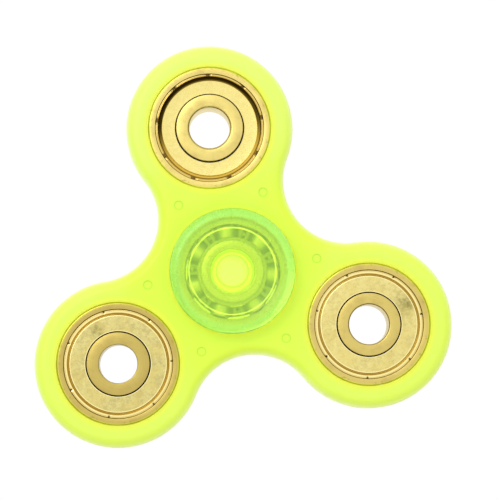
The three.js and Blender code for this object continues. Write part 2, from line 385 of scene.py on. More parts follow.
# %% [markdown]
# The rivets are short studs between the balls. Each starts as a cylinder, their upper rims are
# bevelled to domes together, and a boolean joins all of them to the ribbon.


# %% Find the webs between the balls
def on_circle(radius, angle):
    return radius * math.cos(angle), radius * math.sin(angle)


web_angles = [math.pi / 2 + (web + 0.5) * math.tau / BALL_COUNT for web in range(BALL_COUNT)]
webs = [on_circle(PITCH_RADIUS, angle) for angle in web_angles]
print("webs at", [round(math.degrees(angle)) for angle in web_angles], "degrees")


# %% Make the studs
RIVET_RADIUS = 0.42
RIVET_FOOT = CAGE_WEB + 0.01
RIVET_TOP = CAGE_WEB + SHEET + 0.21


def cylinders(places, radius, low, high, vertices):
    """One object of upright cylinders at these places, between two heights."""
    deselect_all()
    parts = []
    for x, y in places:
        bpy.ops.mesh.primitive_cylinder_add(
            vertices=vertices, radius=radius * MM, depth=(high - low) * MM,
            location=(x * MM, y * MM, (high + low) / 2 * MM))
        parts.append(bpy.context.active_object)
    for part in parts:
        part.select_set(True)
    bpy.ops.object.join()
    joined = bpy.context.active_object
    make_active(joined)
    bpy.ops.object.transform_apply(location=True, rotation=True, scale=True)
    print(len(parts), "cylinders joined")
    return joined


studs = cylinders(webs, RIVET_RADIUS, RIVET_FOOT, RIVET_TOP, vertices=20)


# %% Rivet the webs
RIVET_DOME = 0.14
RIM_REACH = 0.05


def combine(piece, operation, tool):
    """Unites a tool with the piece, or cuts it away, and deletes the tool."""
    apply_modifier(piece, "BOOLEAN", operation=operation, solver="EXACT", object=tool)
    bpy.data.objects.remove(tool)


choose(studs, "EDGE", lambda edge: min(end.z for end in ends(studs, edge)) > RIVET_TOP - RIM_REACH)
bpy.ops.mesh.bevel(offset=RIVET_DOME * MM, segments=3)
leave_edit()
combine(cage, "UNION", studs)
smooth(cage, degrees=35)
report(cage)

# %% [markdown]
# ## Shields
# A shield is thin sheet, pressed to shape and crimped into the outer ring. Two makes are used.
# One has a fine groove just inside its rim. The other is dished, with a sloping wall that
# mirrors its surroundings as a dark band. Both are turned here from their section, because a
# pressed disc is round all over. The section runs over the top first and back underneath.

# %% Press a shield
RIM_BEND = 0.13
SHIELD_FOOT = HALF_WIDTH - SHIELD_SEAT_DEPTH + 0.02


def draw_rim(shield, bend_start, sheet):
    """Takes the rim outwards, rounds it over, and stands it on the floor of the seat."""
    shield.line(bend_start, shield.at[1]).bend(RIM_BEND, 0, -90)
    rim = shield.at[0]
    shield.line(rim, SHIELD_FOOT).line(rim - sheet, SHIELD_FOOT)


def grooved_shield(name):
    bore, groove_start, groove_end = 5.86, 8.6, 9.25
    top = HALF_WIDTH - 0.3
    under_groove = top - 0.5
    down, up = -68, 62
    shield = Section(name, bore, top)
    shield.line(groove_start, top).bend(0.2, 0, down).bend(0.12, down, up).bend(0.14, up, 0)
    draw_rim(shield, 9.63, 0.22)
    shield.line(groove_end, under_groove).line(groove_start + 0.05, under_groove)
    shield.line(groove_start - 0.1, top - SHEET).line(bore, top - SHEET).line(bore, top)
    return shield.turn()


def dished_shield(name):
    bore, wall_start, wall_end = 6.25, 8.54, 9.3
    floor = HALF_WIDTH - 0.78
    slope, roll_over, rim_rise = 39, -40, 12
    shield = Section(name, bore, floor)
    shield.line(wall_start, floor).bend(0.08, 0, slope).line(wall_end, floor + 0.6)
    shield.bend(0.08, slope, roll_over).bend(0.1, roll_over, rim_rise).bend(0.16, rim_rise, 0)
    draw_rim(shield, 9.62, 0.2)
    shield.line(wall_end - 0.2, floor + 0.2).line(wall_start + 0.01, floor - SHEET)
    shield.line(bore, floor - SHEET).line(bore, floor)
    return shield.turn()


pressed = {
    "weight1": dished_shield("fine_weight1_upper_shield"),
    "weight2": grooved_shield("fine_weight2_upper_shield"),
    "weight3": grooved_shield("fine_weight3_upper_shield"),
}
print("pressed:", [piece.name for piece in pressed.values()])

# %% [markdown]
# The crimping tool strikes the rim at even steps and leaves small notches there. Each notch is
# made by pushing down the few vertices under the tool, once or twice side by side. The count and
# the first notch's angle are kept by name, because painted shade darkens the same places later.

# %% Crimp the rims
NOTCHES = {"weight1": (9, 83), "weight2": (7, 97), "weight3": (7, 105)}
STRIKES = {"weight1": (-1.5, 1.5), "weight2": (0,), "weight3": (0,)}
NOTCH_INSIDE = {"weight1": 9.36, "weight2": 9.25, "weight3": 9.25}
NOTCH_DEPTH = 0.32
NOTCH_REACH = HALF_WIDTH - 0.75


def crimp(name):
    """Presses narrow notches into the rim, outside a radius, in one or two strikes a notch."""
    count, first_degrees = NOTCHES[name]
    pitch = math.tau / count

    def is_struck(angle):
        return (angle + slice_angle / 2) % pitch < slice_angle

    def on_notch(vertex):
        place = vertex.co / MM
        if math.hypot(place.x, place.y) < NOTCH_INSIDE[name] or place.z < NOTCH_REACH:
            return False
        angle = math.atan2(place.y, place.x) - math.radians(first_degrees)
        return any(is_struck(angle - strike * slice_angle) for strike in STRIKES[name])

    choose(pressed[name], "VERT", on_notch)
    bpy.ops.transform.translate(value=(0, 0, -NOTCH_DEPTH * MM))
    leave_edit()
    smooth(pressed[name])
    return report(pressed[name])


shields = {name: crimp(name) for name in WEIGHTS}

# %% [markdown]
# ## Body
# The body is one injection moulding. Its outline is nine arcs: a lobe at each arm's end, and two
# halves of a hollow between lobes, which is touched by both. Each arc is one spin of the last
# vertex. Only the waist between two arms is chosen here: with it, the hollow's radius follows
# from a triangle of the middle, the lobe's centre and the hollow's centre.

# %% Work out the outline
SEAT_RADIUS = RING_RADIUS + 0.03
LOBE_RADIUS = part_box("spinner_body")[1].y / MM - ARM_LENGTH
WAIST_RADIUS = RING_RADIUS + 4.08
half_step = math.pi / 3
reach = ARM_LENGTH * math.cos(half_step)
hollow_radius = (ARM_LENGTH ** 2 + WAIST_RADIUS ** 2 - 2 * reach * WAIST_RADIUS - LOBE_RADIUS ** 2) / (
    2 * (LOBE_RADIUS + reach - WAIST_RADIUS))
hollow_centre = WAIST_RADIUS + hollow_radius
beyond_lobe = hollow_centre * math.cos(half_step) - ARM_LENGTH
beside_lobe = hollow_centre * math.sin(half_step)
lobe_half_arc = math.atan2(beside_lobe, beyond_lobe)
hollow_half_arc = lobe_half_arc - half_step
print(f"lobes of {LOBE_RADIUS:.2f} mm, hollows of {hollow_radius:.2f} mm, waist {WAIST_RADIUS:.2f} mm")

# %% [markdown]
# The seats are drawn as circles inside the outline, the sheet between them is filled, and one
# extrude gives the thickness. Cutting the seats with a boolean would work too, but filling keeps
# the edge loops clean for the bevels that come next.

# %% Draw it, fill it and give it thickness
HOLLOW_STEPS = 20
LOBE_STEPS = 96
SEAT_STEPS = 128


def sweep(centre, angle, steps):
    """Spins the last vertex about an upright axis, anticlockwise for a positive angle."""
    pivot = (centre[0] * MM, centre[1] * MM, 0)
    bpy.ops.mesh.spin(steps=steps, angle=-angle, center=pivot, axis=(0, 0, 1))


arm_angles = [math.atan2(AXES[name].y, AXES[name].x) for name in WEIGHTS]
start = on_circle(WAIST_RADIUS, arm_angles[0] - half_step)
body = start_vertex("fine_spinner_body", (*start, -BODY_HALF))
for arm_angle in arm_angles:
    sweep(on_circle(hollow_centre, arm_angle - half_step), -hollow_half_arc, HOLLOW_STEPS)
    sweep(on_circle(ARM_LENGTH, arm_angle), 2 * lobe_half_arc, LOBE_STEPS)
    sweep(on_circle(hollow_centre, arm_angle + half_step), -hollow_half_arc, HOLLOW_STEPS)
merge_doubles()
seats = [(0, 0)] + [(AXES[name].x, AXES[name].y) for name in WEIGHTS]
for x, y in seats:
    bpy.ops.mesh.primitive_circle_add(
        vertices=SEAT_STEPS, radius=SEAT_RADIUS * MM, location=(x * MM, y * MM, -BODY_HALF * MM))
bpy.ops.mesh.select_all(action="SELECT")
bpy.ops.mesh.fill(use_beauty=True)
bpy.ops.mesh.select_all(action="SELECT")
bpy.ops.mesh.extrude_region_move(TRANSFORM_OT_translate={"value": (0, 0, 2 * BODY_HALF * MM)})
bpy.ops.mesh.select_all(action="SELECT")
bpy.ops.mesh.normals_make_consistent(inside=False)
leave_edit()
report(body)

# %% [markdown]
# A moulding has no sharp edges. The outside gets a wide round, which is what fingers touch, and
# the seats get only a fine one, because the bearings must be held over their whole width.

# %% Round the outside and break the seats' corners
EDGE_ROUND = 2.1
SEAT_BREAK = 0.12
AT_SEAT = 0.1
LEVEL = 0.01


def near_seat(place):
    return min(math.hypot(place.x - x, place.y - y) for x, y in seats) < SEAT_RADIUS + AT_SEAT


def rim_edges(at_seats):
    """Says which edges lie round the outside of a flat face, or round its seats."""
    leave_edit()
    upright = [face for face in body.data.polygons if abs(face.normal.z) < 0.5]
    walls = {key for face in upright for key in face.edge_keys}

    def chosen(edge):
        a, b = ends(body, edge)
        on_face = abs(a.z - b.z) < LEVEL and abs(abs(a.z) - BODY_HALF) < LEVEL
        return on_face and edge.key in walls and (near_seat(a) and near_seat(b)) == at_seats

    return chosen


choose(body, "EDGE", rim_edges(at_seats=False))
bpy.ops.mesh.bevel(offset=EDGE_ROUND * MM, segments=9, profile=0.5, clamp_overlap=False)
choose(body, "EDGE", rim_edges(at_seats=True))
bpy.ops.mesh.bevel(offset=SEAT_BREAK * MM, segments=2, profile=0.5, clamp_overlap=False)
leave_edit()
report(body)

# %% [markdown]
# Small round marks are left where ejector pins pushed the moulding out, a pair beside each arm.
# They are cut with one boolean, by a cutter made of six short cylinders.

# %% Ejector marks
MARK_RADIUS = 0.75
MARK_DEPTH = 0.2
MARK_CIRCLE = 15.3
MARK_ANGLE = math.radians(30)
mark_angles = [arm_angle + side * MARK_ANGLE for arm_angle in arm_angles for side in (-1, 1)]
marks = [on_circle(MARK_CIRCLE, angle) for angle in mark_angles]
cutter = cylinders(marks, MARK_RADIUS, BODY_HALF - MARK_DEPTH, BODY_HALF + MARK_DEPTH, vertices=32)
combine(body, "DIFFERENCE", cutter)
smooth(body, degrees=30)
report(body)

# %% [markdown]
# ## Finger caps
# A cap is a small moulding: a dished disc for the fingertip, a boss beneath it, a narrow shoulder
# that stands on the inner ring, and a hollow stem that plugs the bearing's bore. It is turned
# from one section, which starts on the axis inside the hollow stem, goes down and out round the
# stem, boss and brim, and comes back over the top to the middle of the dish.

# %% Turn a cap
STEM, STEM_BORE, STEM_END = 3.93, 3.0, 0.15
SHOULDER, SHOULDER_FACE = 4.98, HALF_WIDTH + 0.03
BOSS, BOSS_FACE, BOSS_ROUND = 7.9, BODY_HALF + 0.6, 0.12
BRIM_FACE, BRIM_ROUND = BOSS_FACE + 0.3, 0.9
RIM_ROUND, RIM_LAND = 1.45, 0.25
DISH_DEPTH, DISH_ROUND, DISH_SLOPE = 0.75, 1.6, 16
CAP_STEPS = 192


def turn_cap(name):
    bore_end, bore_round = BOSS_FACE + 0.2, 0.3
    rim_centre = CAP_RADIUS - RIM_ROUND
    dish_start = rim_centre - RIM_LAND
    cap = Section(name, 0, bore_end)
    cap.line(STEM_BORE - bore_round, bore_end).arc(STEM_BORE - bore_round, bore_end - bore_round, -90, 22)
    cap.line(STEM_BORE, STEM_END).line(STEM - 0.25, STEM_END).line(STEM, STEM_END + 0.35)
    cap.line(STEM, SHOULDER_FACE).line(SHOULDER, SHOULDER_FACE).line(SHOULDER, BOSS_FACE)
    cap.line(BOSS - BOSS_ROUND, BOSS_FACE).arc(BOSS - BOSS_ROUND, BOSS_FACE + BOSS_ROUND, 90, TINY_ARC)
    cap.line(BOSS, BRIM_FACE).line(CAP_RADIUS - BRIM_ROUND, BRIM_FACE)
    cap.arc(CAP_RADIUS - BRIM_ROUND, BRIM_FACE + BRIM_ROUND, 90, FINE_ARC)
    cap.line(CAP_RADIUS, CAP_TOP - RIM_ROUND).arc(rim_centre, CAP_TOP - RIM_ROUND, 90, 7.5)
    cap.line(dish_start, CAP_TOP).bend(DISH_ROUND, 180, 180 + DISH_SLOPE, 4)
    for share in (0.75, 0.5, 0.3, 0.12, 0):
        cap.line(dish_start * share, CAP_TOP - DISH_DEPTH * (1 - share ** 2))
    return report(cap.turn(steps=CAP_STEPS, sharp=30))


upper_cap = turn_cap("fine_upper_cap")

# %% [markdown]
# ## Putting the pieces in place
# Every bearing is the same standard size, so its parts are copied from the ones above: turned
# over for the lower half, and moved out to an arm. Each copy keeps its own mesh, and its place is
# applied to that mesh, so that every finished object sits at the origin.


# %% Copy within the centre bearing and the caps
def settle(piece, shift=(0, 0), rotation=(0, 0, 0)):
    """Moves and turns a piece, and keeps that in its mesh."""
    make_active(piece)
    piece.rotation_euler = rotation
    piece.location = (shift[0] * MM, shift[1] * MM, 0)
    bpy.ops.object.transform_apply(location=True, rotation=True, scale=True)
    return piece


def copy_piece(piece, name, **place):
    make_active(piece)
    bpy.ops.object.duplicate(linked=False)
    copy = bpy.context.active_object
    copy.name = name
    return settle(copy, **place)


TURNED_OVER = (0, math.pi, 0)
balls = {"centre_ball_1": ball}
for number in range(1, BALL_COUNT):
    rotation = (0, 0, number * math.tau / BALL_COUNT)
    part = f"centre_ball_{number + 1}"
    balls[part] = copy_piece(ball, f"fine_{part}", rotation=rotation)
lower_cage = copy_piece(cage, "fine_centre_lower_cage_half", rotation=TURNED_OVER)
lower_cap = copy_piece(upper_cap, "fine_lower_cap", rotation=TURNED_OVER)
pieces = {
    "spinner_body": body,
    "upper_cap": upper_cap,
    "lower_cap": lower_cap,
    "centre_outer_ring": outer_ring,
    "centre_inner_ring": inner_rings["centre"],
    "centre_upper_cage_half": cage,
    "centre_lower_cage_half": lower_cage,
    **balls,
}
print(len(pieces), "pieces with the centre bearing")

# %% Copy the bearings out to the arms
SHARED = ["outer_ring", "upper_cage_half", "lower_cage_half"]
SHARED += [f"ball_{number + 1}" for number in range(BALL_COUNT)]
for name in WEIGHTS:
    shift = (AXES[name].x, AXES[name].y)
    for part in SHARED:
        pieces[f"{name}_{part}"] = copy_piece(pieces[f"centre_{part}"], f"fine_{name}_{part}", shift=shift)
    pieces[f"{name}_lower_shield"] = copy_piece(
        shields[name], f"fine_{name}_lower_shield", shift=shift, rotation=TURNED_OVER)
    pieces[f"{name}_inner_ring"] = settle(inner_rings[name], shift=shift)
    pieces[f"{name}_upper_shield"] = settle(shields[name], shift=shift)
missing = sorted(set(frame["nodes"]) - set(pieces))
print(len(pieces), "pieces; nodes without one:", missing)

# %% [markdown]
# Each piece rides on the body that its frame node belongs to, so that it moves with it, and
# stands in for that node. Comparing the middles of both shows that nothing was put astray.

# %% Ride on the frame's bodies
BODIES = frame["record"]["behaviour"]["bodies"]
BODY_OF = {node: body_name for body_name, nodes in BODIES.items() for node in nodes}
for node, piece in pieces.items():
    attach(piece, BODY_OF[node])
    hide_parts(node)


def piece_middle(piece):
    corners = [Vector(corner) for corner in piece.bound_box]
    return sum(corners, Vector()) / len(corners)


farthest = max((middle(node) - piece_middle(piece)).length / MM for node, piece in pieces.items())
print(f"no piece's middle is more than {farthest:.3f} mm from its node's")

# %% [markdown]
# ## Writing shader maths
# Shader nodes are quick to draw by hand, but a formula is easier to read as a formula. This
# small class wraps a socket, so that a sum or product in Python adds the Math node that does it.


# %% A socket that can be calculated with
class Field:
    """A number or colour that varies over a surface."""

    def __init__(self, nodes, socket):
        self.nodes = nodes
        self.socket = socket

    def math(self, operation, *others):
        values = dict(enumerate((self, *others)))
        return self.nodes.node("Math", {"operation": operation}, values)

    def __add__(self, other):
        return self.math("ADD", other)

    def __sub__(self, other):
        return self.math("SUBTRACT", other)

    def __rsub__(self, other):
        return self.nodes.node("Math", {"operation": "SUBTRACT"}, {0: other, 1: self})

    def __mul__(self, other):
        return self.math("MULTIPLY", other)

    def __truediv__(self, other):
        return self.math("DIVIDE", other)

    def __pow__(self, other):
        return self.math("POWER", other)

    __radd__ = __add__
    __rmul__ = __mul__

    def clamped(self):
        return self.nodes.node("Clamp", {}, {"Value": self})

    def from_whole(self):
        """How far this is from the nearest whole number, above or below."""
        return (self + 0.5).math("FRACT") - 0.5

    def ramp(self, low, high):
        """0 below low and 1 above high, or the other way round, with a smooth step between."""
        settings = {"interpolation_type": "SMOOTHSTEP"}
        if low < high:
            values = {"Value": self, "From Min": low, "From Max": high, "To Min": 0.0, "To Max": 1.0}
        else:
            values = {"Value": self, "From Min": high, "From Max": low, "To Min": 1.0, "To Max": 0.0}
        return self.nodes.node("MapRange", settings, values)

    def band(self, centre, half_width):
        """1 at the centre value, falling to 0 this far on either side."""
        return (self - centre).math("ABSOLUTE").ramp(half_width, 0.0)


print("operators that add a Math node: + - * / **")

# %% [markdown]
# Every other node comes from one method, which takes the node's type, its settings and what goes
# into its sockets. A finish works in millimetres from the middle of its own piece, so that its
# marks circle the right axis. The place comes from Object coordinates, which stay with the mesh
# when a joint moves it.


# %% A material and the nodes that a finish is made from
class Nodes:
    """Adds nodes to one tree, a material's or the world's."""

    def __init__(self, tree):
        self.tree = tree

    def node(self, kind, settings, inputs, output=0):
        made = self.tree.nodes.new("ShaderNode" + kind)
        for name, value in settings.items():
            setattr(made, name, value)
        for name, value in inputs.items():
            self.feed(made.inputs[name], value)
        return Field(self, made.outputs[output])

    def feed(self, socket, value):
        if isinstance(value, Field):
            self.tree.links.new(value.socket, socket)
        else:
            socket.default_value = value

    def blend(self, share, colour_a, colour_b):
        return self.node("Mix", {"data_type": "RGBA"}, {0: share, 6: colour_a, 7: colour_b}, 2)


class Finish(Nodes):
    """A material built round one Principled BSDF, measured in millimetres."""

    def __init__(self, name, centre=(0, 0, 0)):
        self.material = bpy.data.materials.new(name)
        self.material.use_nodes = True
        super().__init__(self.material.node_tree)
        self.surface = self.tree.nodes["Principled BSDF"]
        place = self.node("TexCoord", {}, {}, "Object")
        offset = [-coordinate for coordinate in centre]
        self.place = self.node(
            "Mapping", {"vector_type": "POINT"},
            {"Vector": place, "Location": offset, "Scale": (1 / MM, 1 / MM, 1 / MM)}, "Vector")

    def axis(self, name):
        return self.node("SeparateXYZ", {}, {0: self.place}, name)

    def radius(self, x=0, y=0):
        """Distance from an upright axis through this point."""
        across = self.axis("X") - x
        up = self.axis("Y") - y
        return (across ** 2 + up ** 2).math("SQRT")

    def angle(self):
        return self.axis("Y").math("ARCTAN2", self.axis("X"))

    def level(self):
        """Height above or depth below mid-thickness, so that both faces look alike."""
        return self.axis("Z").math("ABSOLUTE")

    def noise(self, scale, detail=2.0, roughness=0.5):
        inputs = {"Vector": self.place, "Scale": scale, "Detail": detail, "Roughness": roughness}
        return self.node("TexNoise", {}, inputs, "Fac")

    def rings(self, scale, detail=3.0):
        """Noise that changes only with distance from the axis, as turning marks do."""
        inputs = {"W": self.radius(), "Scale": scale, "Detail": detail, "Roughness": 0.6}
        return self.node("TexNoise", {"noise_dimensions": "1D"}, inputs, "Fac")

    def bump(self, height, distance):
        """A bump of this height in millimetres."""
        return self.node("Bump", {}, {"Height": height, "Distance": distance * MM}, "Normal")

    def finish(self, **values):
        for name, value in values.items():
            self.feed(self.surface.inputs[name.replace("_", " ")], value)
        return self.material


def to_light(value):
    """Turns a screen's value, 0 to 255, into the share of full light that shaders use."""
    share = value / 255
    return ((share + 0.055) / 1.055) ** 2.4 if share > 0.04045 else share / 12.92


def shade(red, green, blue):
    """A colour given as a screen shows it."""
    return (to_light(red), to_light(green), to_light(blue), 1.0)


print("a screen's middle grey is", round(to_light(128), 3), "of full light")

# %% [markdown]
# ## Body plastic
# The body is fluorescent yellow-green plastic with a milky depth. Light enters it, scatters, and
# comes out again, so edges look pale and the plastic beside each bearing glows a deeper yellow.
# Subsurface scattering alone shows neither strongly enough, so both are also tints: one follows
# the rounded edge, the other the seats.

# %% Where the body plastic changes colour
GLOW_WIDTH = 1.3
MARK_PITCH = math.radians(60)
OUTLINE = 0.22


def seat_glow(plastic):
    """1 at the edge of a seat, falling to 0 a little way out."""
    glow = None
    for x, y in seats:
        near = plastic.radius(x, y).ramp(SEAT_RADIUS + GLOW_WIDTH, SEAT_RADIUS)
        glow = near if glow is None else glow.math("MAXIMUM", near)
    return glow


def painted_edge_light(plastic):
    """Painted light: 1 on the rounded outside, where it is thin and lets light through, and 0 on the flat
    faces and at mid-thickness.
    """
    return plastic.level().ramp(BODY_HALF - 0.12, BODY_HALF - EDGE_ROUND) * plastic.level().ramp(0.4, 1.4)


def mark_rim_shade(plastic):
    """A thin ring of painted shade round the edge of each ejector mark."""
    around = (plastic.angle() / MARK_PITCH).from_whole() * MARK_PITCH * MARK_CIRCLE
    from_mark = ((plastic.radius() - MARK_CIRCLE) ** 2 + around ** 2).math("SQRT")
    return from_mark.band(MARK_RADIUS, OUTLINE) * plastic.level().ramp(BODY_HALF - 0.4, BODY_HALF - 0.3)


print(f"glow reaches {GLOW_WIDTH} mm from each of {len(seats)} seats")

# %% [markdown]
# The colours are laid over each other from the broadest to the finest: a slow fade towards the
# far arms, the pale edge as painted light, a ring of painted shade round each mark, and last the
# glow. A little light of its own stands for the fluorescence.


# %% Body plastic
def body_plastic():
    plastic = Finish("body_plastic")
    glow = seat_glow(plastic)
    clouds = plastic.noise(0.09, 3.0) * 16 - 8
    outwards = (plastic.radius() + clouds).ramp(13.0, 28.0)
    upwards = (plastic.axis("Y") + clouds).ramp(8.0, 40.0)
    colour = plastic.blend(0.5 * outwards + 0.5 * upwards, shade(221, 251, 64), shade(225, 254, 112))
    # Painted light: the rounded edge is painted paler, except beside the seats.
    colour = plastic.blend(painted_edge_light(plastic) * (1 - glow) * 0.85, colour, shade(240, 255, 182))
    # Painted shade: a darker ring round each ejector mark.
    colour = plastic.blend(mark_rim_shade(plastic) * 0.75, colour, shade(186, 214, 44))
    colour = plastic.blend(glow * 0.7, colour, shade(242, 254, 48))
    grain = plastic.noise(2.2, 4.0, 0.6)
    return plastic.finish(
        Base_Color=colour, Roughness=0.36 + 0.1 * plastic.noise(0.4), IOR=1.5,
        Subsurface_Weight=0.5, Subsurface_Radius=(1.0, 1.0, 0.35), Subsurface_Scale=3.5 * MM,
        Emission_Color=plastic.blend(glow, colour, shade(246, 255, 80)), Emission_Strength=0.19,
        Normal=plastic.bump(grain, 0.008))


finishes = {"body_plastic": body_plastic()}
print("body plastic:", len(finishes["body_plastic"].node_tree.nodes), "nodes")

# %% [markdown]
# ## Cap plastic
# The caps are clearer than the body: the balls and rings beneath show through as soft shapes. A
# rough transmission does that by itself, because what is close behind stays readable while what
# is far away is blurred. Rings of deeper tint are painted over the bearing's dark gaps and deep
# parts beneath: painted shade. The rim, where most of the light comes out sideways, turns mint
# green, and its outer edge is painted darker as painted shade.

# %% Cap plastic
# Painted shade: rings of darker tint over the bore's dark edge, the gap at the shield's bore and the deep
# zone by the outer ring.
CAP_SHADE_RINGS = (
    {"at": 4.45, "half_width": 0.2, "strength": 0.7, "tint": (0.66, 0.74, 0.14, 1.0)},
    {"at": 5.65, "half_width": 0.35, "strength": 0.8, "tint": (0.7, 0.78, 0.2, 1.0)},
    {"at": 9.0, "half_width": 0.9, "strength": 0.85, "tint": (0.68, 0.76, 0.2, 1.0)},
)


def cap_plastic():
    plastic = Finish("cap_plastic")
    radius = plastic.radius()
    hollow = radius.ramp(3.1, 2.8)
    colour = plastic.blend(hollow, (0.84, 0.89, 0.24, 1.0), (0.82, 0.92, 0.36, 1.0))
    stem = radius.band(3.35, 0.95).ramp(0.0, 0.25)
    colour = plastic.blend(stem, colour, (0.82, 0.85, 0.22, 1.0))
    for ring in CAP_SHADE_RINGS:
        share = radius.band(ring["at"], ring["half_width"]) * ring["strength"]
        colour = plastic.blend(share, colour, ring["tint"])
    colour = plastic.blend(radius.ramp(9.2, 10.2), colour, (0.7, 0.98, 0.5, 1.0))
    # Painted shade: the outer edge of the rim is painted darker.
    colour = plastic.blend(radius.ramp(11.0, CAP_RADIUS), colour, (0.4, 0.66, 0.36, 1.0))
    smears = plastic.noise(0.3, 4.0, 0.6)
    # Painted highlight: a bright ring round the boss's edge, given as emission.
    boss_edge_highlight = radius.band(7.85, 0.19) * plastic.level().ramp(4.6, 4.4)
    # Painted light: a faint green glow over the whole cap stands for the fluorescence, a little stronger
    # over the stem.
    glow = plastic.blend(stem, (0.07, 0.16, 0.012, 1.0), (0.08, 0.17, 0.006, 1.0))
    glow = plastic.blend(boss_edge_highlight, glow, (0.55, 0.74, 0.1, 1.0))
    return plastic.finish(
        Base_Color=colour, Roughness=0.1 + 0.08 * smears, IOR=1.42, Transmission_Weight=0.94,
        Emission_Color=glow, Emission_Strength=1.0, Normal=plastic.bump(smears, 0.02))


finishes["cap_plastic"] = cap_plastic()
print("cap plastic:", len(finishes["cap_plastic"].node_tree.nodes), "nodes")

# %% [markdown]
# ## Gold rings
# The weight bearings have a thin gold-coloured finish over turned steel. Turning leaves fine
# rings that only depend on the distance from the axis, and handling leaves stains. The outer
# corner carries a painted reflection of the yellow plastic round it. The walls deep inside carry
# painted shade: they are painted near black and made rougher, and Metallic drops there.

# %% Gold rings
GOLDS = {
    "weight1": {"light": shade(236, 218, 134), "dark": shade(222, 200, 112)},
    "weight2": {"light": shade(204, 185, 105), "dark": shade(188, 165, 86)},
    "weight3": {"light": shade(222, 202, 118), "dark": shade(206, 184, 102)},
}


def gold_ring(name, light, dark):
    metal = Finish(f"gold_ring_{name}", AXES[name])
    radius = metal.radius()
    turning = metal.rings(9.0)
    base = metal.blend(0.25 + 0.5 * turning.ramp(0.3, 0.7), dark, light)
    soiled = metal.noise(1.3, 4.0, 0.6).ramp(0.56, 0.68) * radius.ramp(10.0, 10.9)
    base = metal.blend(soiled * 0.6, base, shade(120, 96, 48))
    # Painted reflection: the outer corner takes the yellow of the plastic round it.
    base = metal.blend(radius.ramp(10.5, 10.85) * 0.55, base, shade(226, 236, 56))
    stain = metal.noise(0.35, 4.0, 0.6).ramp(0.45, 0.75)
    base = metal.blend(stain * 0.35, base, shade(168, 140, 76))
    # Painted shade: the walls deep inside are painted near black, rougher and not metallic.
    deep_inside_shade = radius.ramp(4.8, 5.2) * metal.level().ramp(3.3, 3.0) * radius.ramp(9.9, 9.7)
    base = metal.blend(deep_inside_shade, base, shade(48, 26, 2))
    roughness = 0.24 + 0.14 * metal.noise(1.2, 4.0) + 0.3 * deep_inside_shade
    return metal.finish(
        Base_Color=base, Metallic=1 - deep_inside_shade, Roughness=roughness, Normal=metal.bump(turning, 0.006))


for name in WEIGHTS:
    finishes[f"gold_ring_{name}"] = gold_ring(name, **GOLDS[name])
print("gold rings:", len(GOLDS), "shades of gold")

# %% [markdown]
# ## Gold shields
# Pressed sheet is duller and blotchier than a turned ring. Three scales of noise are laid over
# each other: wide warm patches, blotches, and fine pits with bright and dark flecks. Two more
# helpers then paint light and shade where the sheet is pressed: a groove gets painted highlights
# on both of its edges and painted shade at the bottom, and the bore's edge a painted highlight;
# a dished wall gets painted shade in its crease and a painted dark reflection, most on its far side.

# %% Shading that follows the pressing
HIGHLIGHT = shade(255, 241, 168)
# Painted highlights on the groove's two edges, and painted shade at its bottom.
GROOVE_LIGHT_AND_SHADE = (
    {"at": 8.64, "half_width": 0.2, "strength": 0.9, "colour": HIGHLIGHT},
    {"at": 8.99, "half_width": 0.3, "strength": 1.0, "colour": shade(172, 136, 14)},
    {"at": 9.31, "half_width": 0.16, "strength": 0.9, "colour": HIGHLIGHT},
)


def shade_groove(metal, base):
    radius = metal.radius()
    for band in GROOVE_LIGHT_AND_SHADE:
        share = radius.band(band["at"], band["half_width"]) * band["strength"]
        base = metal.blend(share, base, band["colour"])
    # Painted highlight on the bore's edge.
    bore_edge_highlight = radius.ramp(6.02, 5.92)
    return metal.blend(bore_edge_highlight * 0.9, base, shade(255, 240, 176))


def shade_crease(metal, base):
    radius = metal.radius()
    # Painted shade in the crease, and a painted dark reflection on the wall's far side, towards +Y.
    base = metal.blend(radius.band(9.2, 0.2) * 0.9, base, shade(84, 44, 8))
    painted_dark_reflection = radius.band(9.05, 0.42).ramp(0.0, 0.5) * metal.axis("Y").ramp(0.0, 6.5)
    return metal.blend(painted_dark_reflection * 0.9, base, shade(62, 36, 6))


def notch_shade(metal, name, half_width):
    """Painted shade: 1 in each crimped notch, this many degrees to either side of its middle."""
    count, first_degrees = NOTCHES[name]
    pitch = math.tau / count
    turned = (metal.angle() - math.radians(first_degrees)) / pitch
    from_notch = turned.from_whole().math("ABSOLUTE") * math.degrees(pitch)
    return from_notch.ramp(half_width, half_width * 0.5) * metal.radius().ramp(9.25, 9.4)


print("groove bands at", [band["at"] for band in GROOVE_LIGHT_AND_SHADE], "mm")


